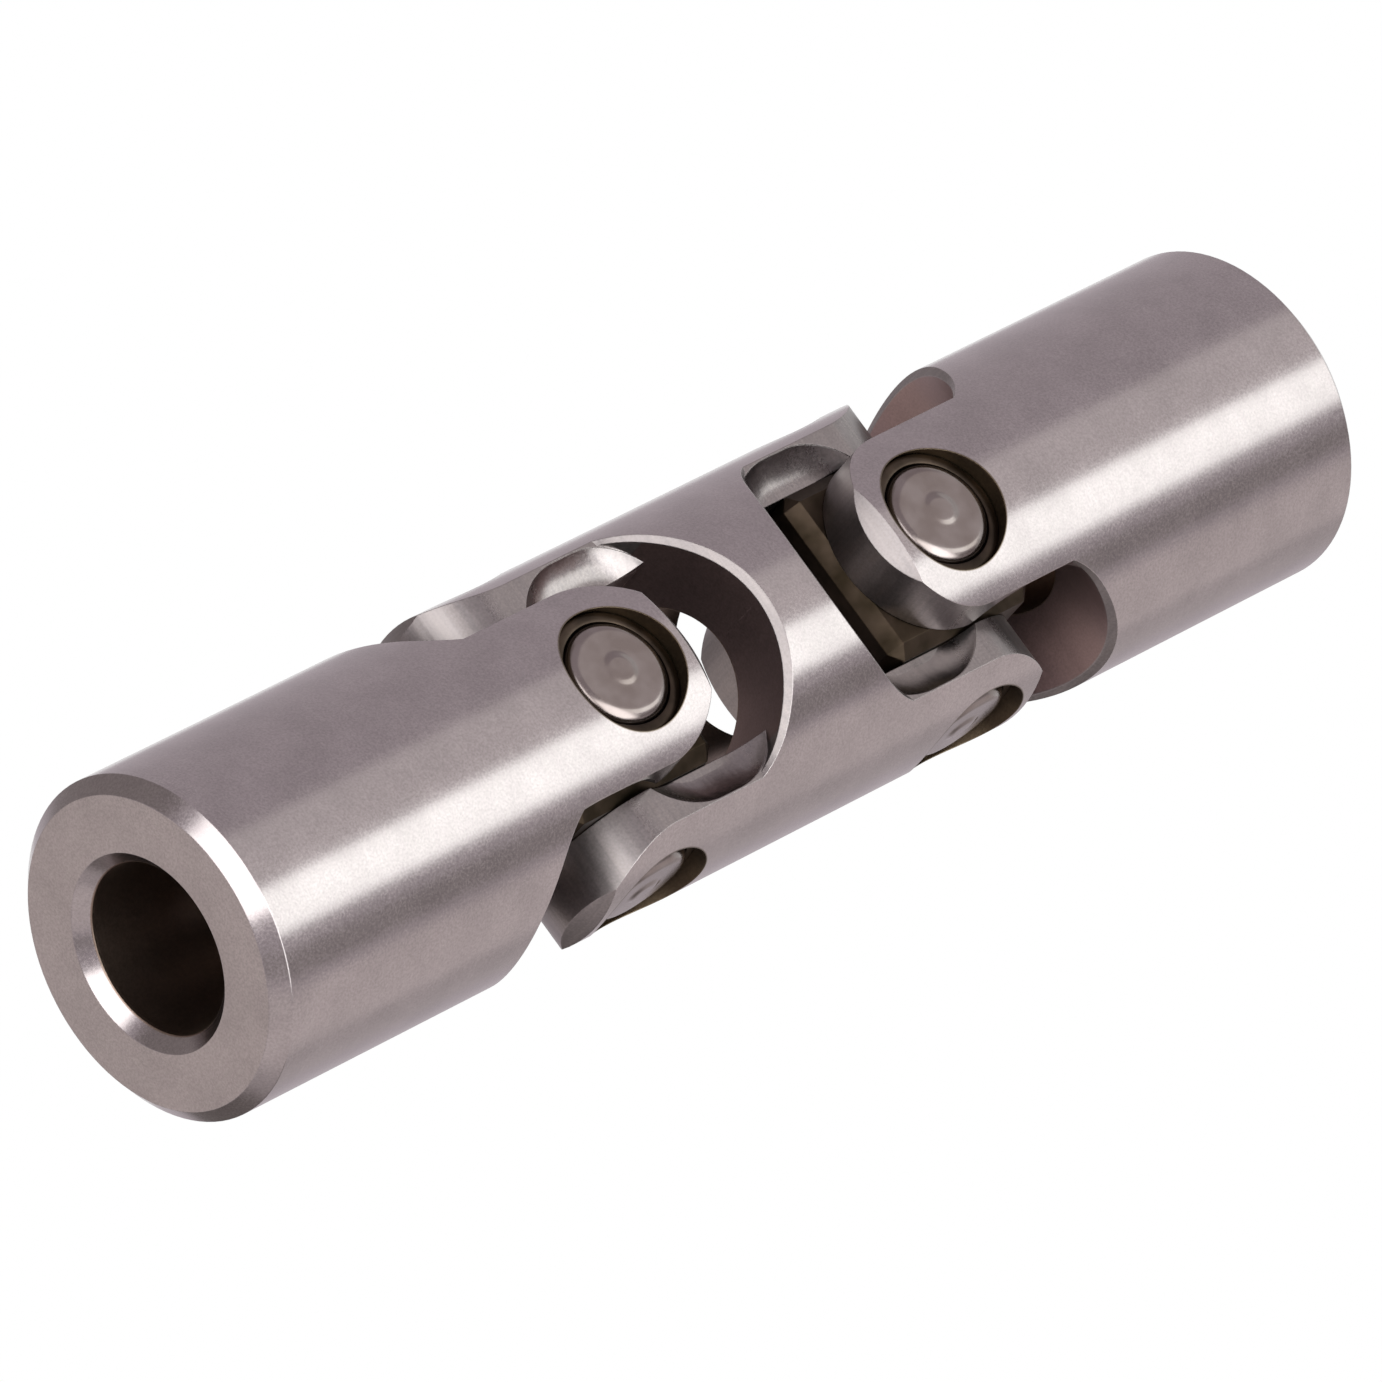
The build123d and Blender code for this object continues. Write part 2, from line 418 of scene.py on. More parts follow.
    def cutter_lines(self, tree: Tree, place: Node, normal: Socket, spacing: float) -> Node:
        """Lay the end mill's lines across the milled faces, parallel to the axis that the cutter stood along.

        Args:
            tree: The material's tree.
            place: The place in millimetres.
            normal: The surface's normal in the object's frame.
            spacing: The distance from line to line.

        Returns:
            A noise from 0 to 1.
        """
        slow = self.line_stretch * min(spacing, self.cusp)
        lines = []
        for scale in ((1.0, slow, 1.0), (slow, 1.0, 1.0)):
            stretched = add_node(tree, "ShaderNodeVectorMath", {0: place, 1: scale}, operation="MULTIPLY")
            lines.append(add_node(tree, "ShaderNodeTexNoise", {
                "Vector": stretched, "Scale": 1 / spacing, "Detail": 2.0}))
        facing = add_node(tree, "ShaderNodeVectorMath", {0: normal}, operation="ABSOLUTE")
        parts = add_node(tree, "ShaderNodeSeparateXYZ", {0: facing}).outputs
        sideways = add_node(tree, "ShaderNodeMath", {0: parts["Y"], 1: parts["X"]}, operation="GREATER_THAN")
        chosen = add_node(tree, "ShaderNodeMix", {"Factor": sideways, "A": lines[0], "B": lines[1]})
        return add_node(tree, "ShaderNodeMapRange", {"Value": chosen, **GRAIN_BAND.source})


@dataclass(frozen=True)
class MachinedSteel:
    """A plain machined steel with fine marks and a film of oil: the pins, bushes and centre blocks.

    The marks break the reflection up a little, and the brown film takes the blue out of the steel.
    """

    name: str
    bright: str
    dull: str
    roughness: float
    # Spacing of the marks, and how deep they are drawn
    spacing: float
    mark_depth: float
    edge_radius: float
    # Size of the blotches that the oil film dries to
    blotch: float = 1.6
    # How much smoother and how much rougher than the roughness the marks make the surface
    smoother: float = 0.03
    rougher: float = 0.05

    def make(self) -> bpy.types.Material:
        """Build the material.

        Returns:
            The finished material.
        """
        material = new_material(self.name)
        tree = material.node_tree
        coords = add_node(tree, "ShaderNodeTexCoord").outputs
        place = add_node(tree, "ShaderNodeVectorMath", {0: coords["Object"], "Scale": 1 / MM},
                         operation="SCALE")
        marks = add_node(tree, "ShaderNodeTexNoise", {
            "Vector": place, "Scale": 1 / self.spacing, "Detail": 3.0})
        blotches = add_node(tree, "ShaderNodeTexNoise", {
            "Vector": place, "Scale": 1 / self.blotch, "Detail": 2.0})
        film = add_node(tree, "ShaderNodeMapRange", {"Value": blotches, **CLOUD_BAND.source})
        colour = add_node(tree, "ShaderNodeMix", {
            "Factor": film, 6: linear(self.bright), 7: linear(self.dull)}, data_type="RGBA")
        spread = Span(self.roughness - self.smoother, self.roughness + self.rougher)
        rough = add_node(tree, "ShaderNodeMapRange", {"Value": marks, **GRAIN_BAND.source, **spread.goal})
        close_metal(tree, {"Base Color": colour, "Roughness": rough,
                           "Normal": marked_normal(tree, marks, self.mark_depth * MM, self.edge_radius)})
        return material


# Hardened and ground pin steel: darker and browner than the bar, with a soft gloss
PIN_STEEL = MachinedSteel("ground_pin_steel", bright="#8B8280", dull="#7E7471", roughness=0.20,
                          spacing=0.12, mark_depth=0.0004, edge_radius=0.05)
# Sintered steel bush, soaked with oil: dull and dark brown, with a grain of pores. Its darkness is partly
# painted shade of its recess in the ear
BUSH_STEEL = MachinedSteel("oil_soaked_sintered_steel", bright="#463C34", dull="#312A24", roughness=0.32,
                           spacing=0.10, mark_depth=0.002, edge_radius=0.04)
# Centre block, blackened in oil and painted darker for the shade between the ears: dark olive brown, smeared,
# lighter where it is rubbed
BLOCK_STEEL = MachinedSteel("oil_blackened_block_steel", bright="#41372E", dull="#2B241B", roughness=0.42,
                            spacing=0.30, mark_depth=0.004, edge_radius=0.08)


@dataclass(frozen=True)
class ShapeTools:
    """The few hand tools that the new pieces are shaped with."""

    def deselect(self) -> None:
        """Leave edit mode and deselect every object."""
        if bpy.context.object and bpy.context.object.mode == "EDIT":
            bpy.ops.object.mode_set(mode="OBJECT")
        bpy.ops.object.select_all(action="DESELECT")

    def activate(self, piece: Solid) -> None:
        """Select one object alone, outside edit mode, and make it the active one.

        Args:
            piece: The object.
        """
        self.deselect()
        piece.select_set(True)
        bpy.context.view_layer.objects.active = piece

    def named(self, name: str) -> Solid:
        """Name the object that an operator has just added, and its mesh.

        Args:
            name: The name that both get.

        Returns:
            The object.
        """
        made = bpy.context.object
        made.name = made.data.name = name
        return made

    def cylinder(self, name: str, radius: float, low: float, high: float, sides: int) -> Solid:
        """Add a cylinder that stands on Z, and open it in edit mode.

        Args:
            name: The piece's name.
            radius: Its radius.
            low: The height of its lower end.
            high: The height of its upper end.
            sides: The number of its sides.

        Returns:
            The piece in edit mode, with its object at the origin.
        """
        self.deselect()
        bpy.ops.mesh.primitive_cylinder_add(vertices=sides, radius=radius * MM, depth=(high - low) * MM,
                                            location=(0, 0, (low + high) / 2 * MM))
        bpy.ops.object.transform_apply(location=True)
        made = self.named(name)
        bpy.ops.object.mode_set(mode="EDIT")
        return made

    def pick_end(self, piece: Solid, height: float) -> None:
        """Select, in edit mode, the faces square to Z at one height, and nothing else.

        Args:
            piece: The object in edit mode.
            height: The faces' height in millimetres.
        """
        bpy.ops.mesh.select_mode(type="FACE")
        bpy.ops.mesh.select_all(action="DESELECT")
        mesh = bmesh.from_edit_mesh(piece.data)
        for face in mesh.faces:
            level = abs(face.calc_center_median().z / MM - height) < PLANE_NEAR
            face.select_set(level and abs(face.normal.z) > END_FACING)
        bmesh.update_edit_mesh(piece.data)

    def pick_rims(self, piece: Solid, *rims: tuple[float, float]) -> None:
        """Select, in edit mode, the edges that lie on circles round Z, and nothing else.

        Args:
            piece: The object in edit mode.
            *rims: Each circle's height and radius in millimetres.
        """
        bpy.ops.mesh.select_mode(type="EDGE")
        bpy.ops.mesh.select_all(action="DESELECT")
        mesh = bmesh.from_edit_mesh(piece.data)
        for edge in mesh.edges:
            ends = [vertex.co / MM for vertex in edge.verts]
            edge.select_set(any(all(self.on_rim(end, *rim) for end in ends) for rim in rims))
        bmesh.update_edit_mesh(piece.data)

    def on_rim(self, point: Vector, height: float, radius: float) -> bool:
        """Say whether a point lies on a circle round Z, all in millimetres."""
        return abs(point.z - height) < PLANE_NEAR and abs(point.xy.length - radius) < CIRCLE_NEAR

    def carve(self, piece: Solid, cutter: Solid) -> None:
        """Cut one closed object out of another, and delete the cutter.

        Args:
            piece: The object that is cut.
            cutter: The object that cuts it.
        """
        self.activate(piece)
        cut = piece.modifiers.new(cutter.name, "BOOLEAN")
        cut.object, cut.operation, cut.solver = cutter, "DIFFERENCE", "EXACT"
        bpy.ops.object.modifier_apply(modifier=cut.name)
        self.discard(cutter)

    def face_outwards(self, piece: Solid) -> None:
        """Turn all faces of a closed piece outwards.

        Args:
            piece: The piece, which is left outside edit mode.
        """
        self.activate(piece)
        bpy.ops.object.mode_set(mode="EDIT")
        bpy.ops.mesh.select_all(action="SELECT")
        bpy.ops.mesh.normals_make_consistent(inside=False)
        bpy.ops.object.mode_set(mode="OBJECT")

    def smooth(self, piece: Solid) -> None:
        """Shade a piece smooth, except over its sharp edges."""
        self.activate(piece)
        bpy.ops.object.shade_smooth_by_angle(angle=math.radians(SHARP_ANGLE))

    def copy_to(self, pattern: Solid, name: str, place: Matrix, steel: bpy.types.Material) -> Solid:
        """Copy a finished piece with its own mesh, put the place into that mesh and give it its steel.

        Args:
            pattern: The piece that is copied.
            name: The copy's name.
            place: Where the copy goes, as a turn and a move.
            steel: The copy's material.

        Returns:
            The copy, whose object sits at the origin.
        """
        made = pattern.copy()
        made.data = pattern.data.copy()
        made.name = made.data.name = name
        bpy.context.scene.collection.objects.link(made)
        made.matrix_world = place
        self.activate(made)
        bpy.ops.object.transform_apply(location=True, rotation=True, scale=True)
        made.data.materials.clear()
        made.data.materials.append(steel)
        return made

    def discard(self, piece: Solid) -> None:
        """Delete a helper object."""
        self.activate(piece)
        bpy.ops.object.delete()


TOOLS = ShapeTools()


@dataclass(frozen=True)
class PinShape:
    """The pins of one cross: sizes in millimetres and the way they are shaped."""

    radius: float
    # From the joint's centre to the flat of a pin's end
    reach: float
    # The rolled rim
    crown: float = 0.85
    crown_steps: int = 10
    # The pip in the middle of an end: radius at its foot and at its top, height, and the roll of both edges
    pip_radius: float = 1.1
    pip_top: float = 0.68
    pip_height: float = 0.13
    pip_roll: float = 0.14
    pip_steps: int = 4
    stub_radius: float = 1.5
    stub_sides: int = 48
    end_gap: float = 0.05
    sides: int = 128

    @classmethod
    def like(cls, node: str) -> PinShape:
        """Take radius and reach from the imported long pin, which lies along X and ends in its pips."""
        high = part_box(node)[1]
        return cls(radius=high[1] / MM, reach=high[0] / MM - cls.pip_height)

    def finish_end(self, piece: Solid, way: int) -> None:
        """Raise the pip in the middle of one end of a pin and crown its rim. The piece is in edit mode.

        Args:
            piece: The pin, standing along Z.
            way: 1 for the upper end, -1 for the lower.
        """
        end = way * self.reach
        TOOLS.pick_end(piece, end)
        bpy.ops.mesh.inset(thickness=(self.radius - self.pip_radius) * MM)
        bpy.ops.mesh.inset(thickness=(self.pip_radius - self.pip_top) * MM, depth=self.pip_height * MM)
        TOOLS.pick_rims(piece, (end, self.pip_radius), (end + way * self.pip_height, self.pip_top))
        bpy.ops.mesh.bevel(offset=self.pip_roll * MM, segments=self.pip_steps, affect="EDGES")
        TOOLS.pick_rims(piece, (end, self.radius))
        bpy.ops.mesh.bevel(offset=self.crown * MM, segments=self.crown_steps, affect="EDGES")

    def long_pin(self) -> Solid:
        """Shape the pin that runs from ear to ear, with its cross hole for the stubs.

        Returns:
            A pattern that stands along Z about the origin, with its cross hole along Y.
        """
        pin = TOOLS.cylinder("long_pin_pattern", self.radius, -self.reach, self.reach, self.sides)
        for way in (1, -1):
            self.finish_end(pin, way)
        TOOLS.deselect()
        bpy.ops.mesh.primitive_cylinder_add(vertices=self.stub_sides, radius=self.stub_radius * MM,
                                            depth=4 * self.radius * MM, rotation=(math.pi / 2, 0, 0))
        TOOLS.carve(pin, TOOLS.named("cross_drill"))
        TOOLS.smooth(pin)
        return pin

    def short_pin(self) -> Solid:
        """Shape a pin that runs from the block out to one ear, with the stub that the long pin holds.

        Returns:
            A pattern whose outer end points along +Z, at its right distance from the origin.
        """
        shoulder = self.radius + self.end_gap
        pin = TOOLS.cylinder("short_pin_pattern", self.radius, shoulder, self.reach, self.sides)
        self.finish_end(pin, 1)
        TOOLS.pick_end(pin, shoulder)
        bpy.ops.mesh.inset(thickness=(self.radius - self.stub_radius) * MM)
        stub = (0, 0, (self.end_gap - shoulder) * MM)
        bpy.ops.mesh.extrude_region_move(TRANSFORM_OT_translate={"value": stub})
        TOOLS.smooth(pin)
        return pin


@dataclass(frozen=True)
class BushShape:
    """A bush in an ear: sizes in millimetres and the way it is turned."""

    inner: float
    outer: float
    near: float
    far: float
    lead_in: float = 0.15
    lead_in_steps: int = 2
    sides: int = 96
    # Where the spun section closes, its first and last points lie nearer than this
    seam: float = 0.0001

    @classmethod
    def like(cls, node: str, pin: PinShape, clearance: float = 0.025) -> BushShape:
        """Take the sizes from a packed bush on the +X side, and the bore from the pin that runs in it.

        Args:
            node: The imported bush.
            pin: The pin.
            clearance: How much larger the bore's radius is than the pin's.

        Returns:
            The bush's shape.
        """
        low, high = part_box(node)
        return cls(inner=pin.radius + clearance, outer=high[1] / MM, near=low[0] / MM, far=high[0] / MM)

    def make(self) -> Solid:
        """Turn the bush from its section.

        Returns:
            A pattern whose axis is Z, at its right distance from the origin.
        """
        TOOLS.deselect()
        middle = Vector(((self.inner + self.outer) / 2, 0, (self.near + self.far) / 2))
        bpy.ops.mesh.primitive_plane_add(size=1.0, rotation=(math.pi / 2, 0, 0), location=middle * MM)
        section = TOOLS.named("bush_pattern")
        section.scale = ((self.outer - self.inner) * MM, (self.far - self.near) * MM, 1)
        bpy.ops.object.transform_apply(location=True, rotation=True, scale=True)
        bpy.ops.object.mode_set(mode="EDIT")
        bpy.ops.mesh.select_all(action="SELECT")
        bpy.ops.mesh.bevel(offset=self.lead_in * MM, segments=self.lead_in_steps, affect="VERTICES")
        bpy.ops.mesh.select_all(action="SELECT")
        bpy.ops.mesh.delete(type="ONLY_FACE")
        bpy.ops.mesh.select_all(action="SELECT")
        bpy.ops.mesh.spin(steps=self.sides, angle=2 * math.pi, center=(0, 0, 0), axis=(0, 0, 1))
        bpy.ops.mesh.select_all(action="SELECT")
        bpy.ops.mesh.remove_doubles(threshold=self.seam * MM)
        TOOLS.face_outwards(section)
        TOOLS.smooth(section)
        return section


@dataclass(frozen=True)
class ReliefDish:
    """The rounded rise from a relief's floor to its rim at an ear's foot.

    The end mill's rounded corner leaves it. Sizes are in millimetres. The pattern lies along X to the ear,
    Y to the foot and Z out of the floor.
    """

    # Distance of the relief's floor from the bar's axis, and of the faces between the ears
    floor: float = 4.75
    slot: float = 5.81
    # Middle of the cutter's last turn: from the bar's axis towards the ear, and from the pin towards the foot
    turn: tuple[float, float] = (3.58, 5.18)
    # How far the cutter ran straight before that turn
    run: float = 1.48
    # The relief's rim, seen from that middle, and its height over the floor
    rim: float = 4.52
    depth: float = 1.0
    # The end mill: its flat end and the radius of its corner, which leaves the crossing fork room to swing
    flat: float = 2.3
    corner: float = 2.96
    # How far the rise reaches into the floor, so that no gap shows
    sunk: float = 0.03
    sides: int = 96
    steps: int = 28
    # How near to a cut or to the middle line a point has to lie to count as on it
    on_line: float = 0.001

    def pull(self, piece: Solid) -> None:
        """Stretch a cylinder by the cutter's straight run towards the pin, and leave edit mode.

        Args:
            piece: The object in edit mode.
        """
        bpy.ops.mesh.select_mode(type="VERT")
        bpy.ops.mesh.select_all(action="DESELECT")
        mesh = bmesh.from_edit_mesh(piece.data)
        for vertex in mesh.verts:
            vertex.select_set(vertex.co.y < -self.on_line * MM)
        bmesh.update_edit_mesh(piece.data)
        bpy.ops.transform.translate(value=(0, -self.run * MM, 0))
        bpy.ops.object.mode_set(mode="OBJECT")

    def make(self) -> Solid:
        """Shape the rise with the rounded cutter and cut it off at the slot between the ears.

        Returns:
            The pattern, with its origin in the middle of the cutter's last turn.
        """
        rise = TOOLS.cylinder("relief_rise_pattern", self.rim, -2 * self.sunk, self.depth, self.sides)
        self.pull(rise)
        reach = self.flat + self.corner
        cutter = TOOLS.cylinder("rounded_cutter", reach, -self.sunk, self.corner + self.depth, self.sides)
        TOOLS.pick_rims(cutter, (-self.sunk, reach))
        bpy.ops.mesh.bevel(offset=self.corner * MM, segments=self.steps, affect="EDGES")
        self.pull(cutter)
        TOOLS.carve(rise, cutter)
        TOOLS.activate(rise)
        bpy.ops.object.mode_set(mode="EDIT")
        bpy.ops.mesh.select_all(action="SELECT")
        bpy.ops.mesh.bisect(plane_co=((self.slot - self.turn[0]) * MM, 0, 0), plane_no=(1, 0, 0),
                            use_fill=True, clear_inner=True, threshold=self.on_line * MM)
        TOOLS.face_outwards(rise)
        TOOLS.smooth(rise)
        return rise

    def place(self, joint: Joint, ear: Side, flank: Side, foot: int) -> Matrix:
        """Give the place of one relief.

        Args:
            joint: The joint that the ear belongs to.
            ear: The side that the ear stands on.
            flank: The side that the flank faces.
            foot: 1 where the ear's foot is above its pin, -1 where it is below.

        Returns:
            The turn and move of the pattern, which may mirror it.
        """
        towards, out, footwards = Vector(ear.value), Vector(flank.value), Vector((0, 0, foot))
        matrix = Matrix((towards, footwards, out)).transposed().to_4x4()
        shift = towards * self.turn[0] + footwards * self.turn[1] + out * self.floor
        matrix.translation = shift * MM + joint.centre
        return matrix


@dataclass
class Fork:
    """One fork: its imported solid, the bushes in its ears and the rises in its reliefs."""

    node: str
    bush_names: dict[tuple[Joint, Side], str]
    # 1 where the ears' feet lie beyond the joints, seen from the coupling's middle, -1 where they lie inside
    foot: int
    steel: bpy.types.Material
    bush_steel: bpy.types.Material

    def dress(self, nodes: dict[str, Solid]) -> None:
        """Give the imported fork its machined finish.

        Args:
            nodes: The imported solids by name.
        """
        solid = nodes[self.node]
        solid.material_slots[0].material = self.steel
        LOG.info("%s: turned, milled and drilled bar steel", self.node)

    def fit_bushes(self, pattern: Solid) -> None:
        """Put a copy of the bush into each ear.

        Args:
            pattern: The bush along +Z.
        """
        for (joint, side), node in self.bush_names.items():
            place = Matrix.Translation(joint.centre) @ side.turn
            piece = TOOLS.copy_to(pattern, f"{node}_sleeve", place, self.bush_steel)
            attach(piece, self.node)
            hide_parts(node)
            LOG.info("%s rides on %s", piece.name, self.node)

    def round_reliefs(self, pattern: Solid, dish: ReliefDish) -> None:
        """Put the rounded rise into each of the reliefs at the ears' feet.

        Args:
            pattern: The rise.
            dish: Its shape, which knows the places.
        """
        for joint, ear in self.bush_names:
            foot = self.foot if joint is Joint.DRIVE else -self.foot
            for flank in Side:
                if Vector(flank.value).dot(Vector(ear.value)):
                    continue
                name = f"{self.node}_relief_{joint.word}_{ear.word}_{flank.word}"
                piece = TOOLS.copy_to(pattern, name, dish.place(joint, ear, flank, foot), self.steel)
                TOOLS.face_outwards(piece)
                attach(piece, self.node)
                LOG.info("%s rides on %s", piece.name, self.node)


@dataclass
class Cross:
    """One cross: its packed centre block and the three pins through it."""

    joint: Joint
    block_steel: bpy.types.Material
    pin_steel: bpy.types.Material

    @property
    def body(self) -> str:
        """The body that the cross's pieces ride on."""
        return f"{self.joint.word}_cross"

    def dress(self, nodes: dict[str, Solid]) -> None:
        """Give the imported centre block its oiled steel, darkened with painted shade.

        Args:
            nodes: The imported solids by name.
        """
        block = nodes[f"{self.joint.word}_centre_block"]
        block.material_slots[0].material = self.block_steel
        LOG.info("%s: oiled block steel", block.name)

    def fit_pins(self, long_pattern: Solid, short_pattern: Solid) -> None:
        """Put the long pin and both short pins in place.

        Args:
            long_pattern: The long pin along Z.
            short_pattern: The short pin along +Z.
        """
        middle = Matrix.Translation(self.joint.centre)
        along_x = Matrix.Rotation(math.pi / 2, 4, "Y")
        self.fit(long_pattern, f"{self.joint.word}_long_pin", middle @ along_x)
        for side in (Side.FRONT, Side.BACK):
            self.fit(short_pattern, f"{self.joint.word}_short_pin_{side.word}", middle @ side.turn)

    def fit(self, pattern: Solid, node: str, place: Matrix) -> None:
        """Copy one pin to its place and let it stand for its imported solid.

        Args:
            pattern: The pin that is copied.
            node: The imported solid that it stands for.
            place: Where the pin goes.
        """
        piece = TOOLS.copy_to(pattern, f"{node}_rolled", place, self.pin_steel)
        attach(piece, self.body)
        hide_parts(node)
        LOG.info("%s rides on %s", piece.name, self.body)


@dataclass(frozen=True)
class TentPanel:
    """One area of the light tent, by direction from the object in degrees, brightness and colour."""

    azimuth: float
    elevation: float
    half_width: float
    half_height: float
    brightness: float
    colour: str
    edge: float = 3.0

    @property
    def glow(self) -> tuple[float, ...]:
        """The panel's radiance as a linear colour, which may be brighter than white."""
        return tuple(self.brightness * part for part in linear(self.colour)[:3]) + (1.0,)


# The tent's cloth: the tone that the steel shows where no panel hangs
CLOTH = TentPanel(0, 0, 180, 90, 0.64, "#FFF4FA")
# The panels, later ones in front of earlier ones
PANELS = (
    # Reflected by the bar's skin: its upper side, three tones towards its lower edge, and its bright strip
    TentPanel(105, 15, 42, 26, 0.38, "#FFF3F2", 8),
    TentPanel(-138, -10, 16, 62, 0.68, "#FFF5F6", 10),
    TentPanel(-101, -10, 23, 62, 0.92, "#FFF5F4", 8),
    TentPanel(-62, -10, 9, 62, 0.42, "#FFF4F4"),
    TentPanel(-25.5, -52, 15.5, 33, 2.8, "#FBFFFC", 7),
    # The unlit side of the room, reflected by milled walls
    TentPanel(-145, -8, 30, 20, 0.22, "#FFF2EE", 6),
    # A window, which gives the crescents on the pins' rims
    TentPanel(-39, 8, 29, 24, 4.7, "#FCFFFE", 12),
    # The table, which gives the even tone above the bright strip
    TentPanel(10, -45, 19, 40, 0.98, "#FFF8F8", 4),
    # A sheet overhead, which gives the bands on the ears' tips
    TentPanel(12, 57, 38, 20, 3.7, "#FFFFFE", 8),
    # Reflected by the near end face
    TentPanel(165.6, 40, 30, 25, 0.82, "#FFF4F0", 8),
    # Reflected by the bar's upper edge
    TentPanel(159, -40.3, 13, 15, 1.15, "#FFFFFF", 4),
)


@dataclass(frozen=True)
class LightTent:
    """A closed tent of grey cloth with brighter and darker panels, which the steel reflects.

    The camera looks through it.
    """

    radius: float = 2000.0
    segments: int = 48
    rings: int = 24

    def make(self) -> None:
        """Add the tent as stage, hidden from the camera."""
        TOOLS.deselect()
        bpy.ops.mesh.primitive_uv_sphere_add(segments=self.segments, ring_count=self.rings,
                                             radius=self.radius * MM)
        tent = TOOLS.named("light_tent")
        bpy.ops.object.mode_set(mode="EDIT")
        bpy.ops.mesh.select_all(action="SELECT")
        bpy.ops.mesh.flip_normals()
        bpy.ops.object.mode_set(mode="OBJECT")
        tent.visible_camera = False
        tent.visible_shadow = False
        tent.data.materials.append(self.lit_cloth())

    def lit_cloth(self) -> bpy.types.Material:
        """Make the cloth's glow, panel by panel.

        Returns:
            The tent's material.
        """
        material = new_material("light_tent_cloth")
        tree = material.node_tree
        coords = add_node(tree, "ShaderNodeTexCoord").outputs
        towards = add_node(tree, "ShaderNodeVectorMath", {0: coords["Object"]}, operation="NORMALIZE")
        xyz = add_node(tree, "ShaderNodeSeparateXYZ", {0: towards}).outputs
        azimuth = add_node(tree, "ShaderNodeMath", {0: xyz["Y"], 1: xyz["X"]}, operation="ARCTAN2")
        elevation = add_node(tree, "ShaderNodeMath", {0: xyz["Z"]}, operation="ARCSINE")
        glow: object = CLOTH.glow
        for panel in PANELS:
            across, upward = (
                add_node(tree, "ShaderNodeMath", {0: angle, 1: math.radians(middle)}, operation="SUBTRACT")
                for angle, middle in ((azimuth, panel.azimuth), (elevation, panel.elevation)))
            across = add_node(tree, "ShaderNodeMath", {0: across, 1: math.pi, 2: -math.pi}, operation="WRAP")
            inside = []
            for off, half in ((across, panel.half_width), (upward, panel.half_height)):
                off = add_node(tree, "ShaderNodeMath", {0: off}, operation="ABSOLUTE")
                edge = Span(math.radians(half + panel.edge / 2), math.radians(half - panel.edge / 2))
                inside.append(add_node(tree, "ShaderNodeMapRange", {"Value": off, **edge.source},
                                       interpolation_type="SMOOTHSTEP"))
            share = add_node(tree, "ShaderNodeMath", dict(enumerate(inside)), operation="MULTIPLY")
            glow = add_node(tree, "ShaderNodeMix", {"Factor": share, 6: glow, 7: panel.glow},
                            data_type="RGBA")
        light = add_node(tree, "ShaderNodeEmission", {"Color": glow, "Strength": 1.0})
        add_node(tree, "ShaderNodeOutputMaterial", {"Surface": light})
        return material


@dataclass(frozen=True)
class PhotoCamera:
    """The camera at the photograph's viewing angle. Azimuth 0 looks along +Y."""

    azimuth: float = 75.590
    elevation: float = 40.303
    roll: float = -116.665
    aim: tuple[float, float, float] = (-0.858, -0.265, 0.902)
    distance: float = 866.609
    lens: float = 407.113
    sensor: float = 36.0
    # Nearest distance that it sees, in metres
    clip: float = 0.01

    def make(self) -> None:
        """Add the camera and make it the scene's own."""
        turn, lift, roll = (math.radians(a) for a in (self.azimuth, self.elevation, self.roll))
        back = Vector((math.sin(turn) * math.cos(lift), -math.cos(turn) * math.cos(lift), math.sin(lift)))
        level = (-back).cross(Vector((0, 0, 1))).normalized()
        right = math.cos(roll) * level + math.sin(roll) * level.cross(-back)
        up = back.cross(right)
        place = Matrix((right, up, back)).transposed().to_4x4()
        place.translation = (Vector(self.aim) + back * self.distance) * MM
        TOOLS.deselect()
        bpy.ops.object.camera_add()
        camera = bpy.context.object
        camera.name = "photo_camera"
        camera.data.sensor_width = self.sensor
        camera.data.lens = self.lens
        camera.data.clip_start = self.clip
        camera.matrix_world = place
        bpy.context.scene.camera = camera


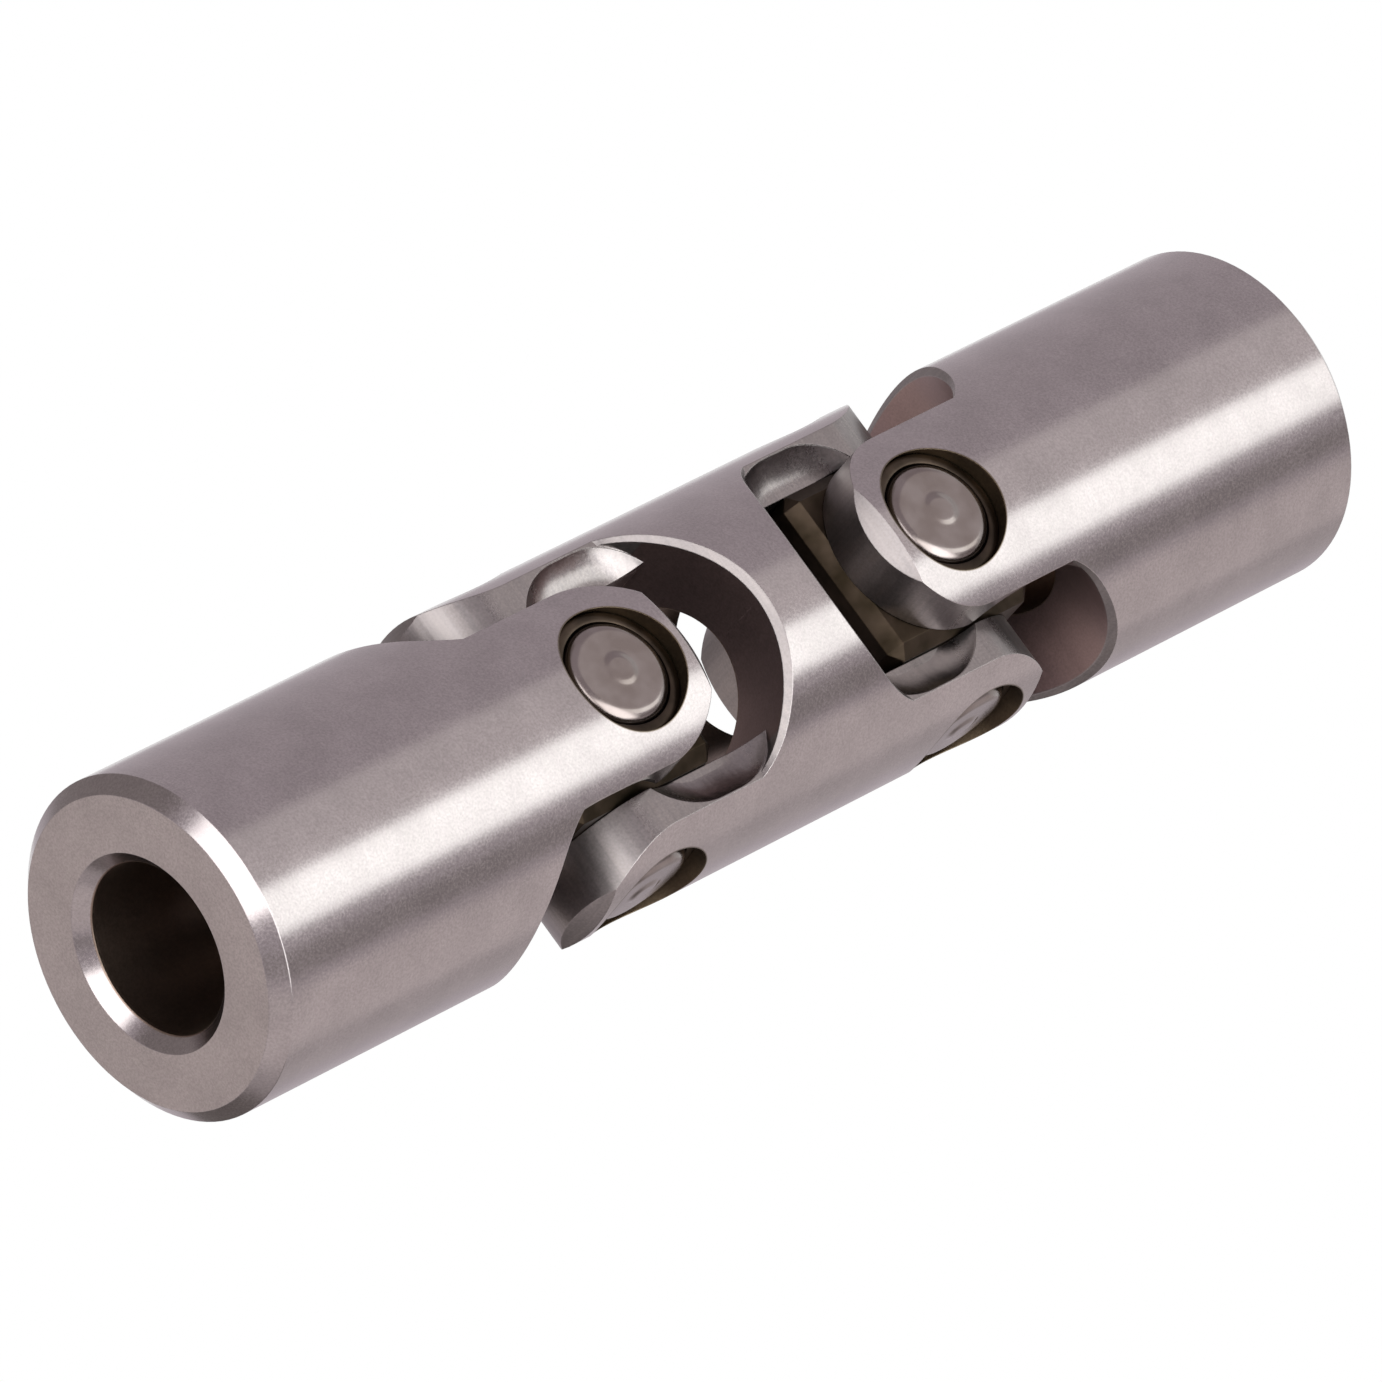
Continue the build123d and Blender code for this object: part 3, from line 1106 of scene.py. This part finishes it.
@dataclass(frozen=True)
class Studio:
    """The plain white surroundings: a pale floor well below the joint, and a white world behind it."""

    floor_radius: float = 220.0
    floor_height: float = -300.0
    floor_sides: int = 96
    # The board's two tones, and its grains in a metre
    board: str = "#F7F6F5"
    board_dark: str = "#F2F1EF"
    grain: float = 400.0

    def make(self) -> None:
        """Set the world and add the floor."""
        scene = bpy.context.scene
        scene.view_settings.view_transform = "Standard"
        world = bpy.data.worlds.new("white_studio")
        world.use_nodes = True
        world.node_tree.nodes.clear()
        sky = add_node(world.node_tree, "ShaderNodeBackground", {"Color": linear(WHITE), "Strength": 1.0})
        add_node(world.node_tree, "ShaderNodeOutputWorld", {"Surface": sky})
        scene.world = world
        TOOLS.deselect()
        bpy.ops.mesh.primitive_circle_add(vertices=self.floor_sides, radius=self.floor_radius * MM,
                                          fill_type="NGON", location=(0, 0, self.floor_height * MM))
        floor = TOOLS.named("pale_floor")
        floor.data.materials.append(self.floor_board())

    def floor_board(self) -> bpy.types.Material:
        """Make the floor's matt white board, which shows as the background's white.

        Returns:
            The floor's material.
        """
        material = new_material("matt_white_board")
        tree = material.node_tree
        coords = add_node(tree, "ShaderNodeTexCoord").outputs
        grain = add_node(tree, "ShaderNodeTexNoise", {
            "Vector": coords["Object"], "Scale": self.grain, "Detail": 2.0})
        tone = add_node(tree, "ShaderNodeMix", {
            "Factor": grain, 6: linear(self.board_dark), 7: linear(self.board)}, data_type="RGBA")
        board = add_node(tree, "ShaderNodeBsdfDiffuse", {"Color": tone})
        white = add_node(tree, "ShaderNodeEmission", {"Color": linear(WHITE), "Strength": 1.0})
        path = add_node(tree, "ShaderNodeLightPath").outputs
        seen = path["Is Camera Ray"]
        for ray in ("Is Glossy Ray", "Is Transmission Ray"):
            seen = add_node(tree, "ShaderNodeMath", {0: seen, 1: path[ray]}, operation="MAXIMUM")
        shown = add_node(tree, "ShaderNodeMixShader", {0: seen, 1: board, 2: white})
        add_node(tree, "ShaderNodeOutputMaterial", {"Surface": shown})
        return material


def make_forks() -> list[Fork]:
    """Name the three forks with their bushes, and give them their steels.

    Returns:
        The double fork and the two end yokes.
    """
    steels = BarSteel().make(), BUSH_STEEL.make()
    bushes = {(joint, side): f"double_fork_bush_{joint.word}_{side.word}"
              for joint in Joint for side in (Side.FRONT, Side.BACK)}
    forks = [Fork("double_fork", bushes, -1, *steels)]
    for joint in Joint:
        node = f"{joint.word}_yoke"
        bushes = {(joint, side): f"{node}_bush_{side.word}" for side in (Side.LEFT, Side.RIGHT)}
        forks.append(Fork(node, bushes, 1, *steels))
    return forks


def main() -> None:
    """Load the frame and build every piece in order."""
    logging.basicConfig(level=logging.INFO, format="%(name)s: %(message)s")
    bpy.ops.object.select_all(action="SELECT")
    bpy.ops.object.delete()
    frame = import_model()
    nodes = frame["nodes"]
    PhotoCamera().make()
    Studio().make()
    LightTent().make()

    pin_shape = PinShape.like("drive_long_pin")
    bush = BushShape.like("drive_yoke_bush_right", pin_shape).make()
    dish = ReliefDish()
    rise = dish.make()
    for fork in make_forks():
        fork.dress(nodes)
        fork.fit_bushes(bush)
        fork.round_reliefs(rise, dish)

    long_pin, short_pin = pin_shape.long_pin(), pin_shape.short_pin()
    block_steel, pin_steel = BLOCK_STEEL.make(), PIN_STEEL.make()
    for joint in Joint:
        cross = Cross(joint, block_steel, pin_steel)
        cross.dress(nodes)
        cross.fit_pins(long_pin, short_pin)

    for pattern in (bush, rise, long_pin, short_pin):
        TOOLS.discard(pattern)
    TOOLS.deselect()


if __name__ == "__main__":
    main()
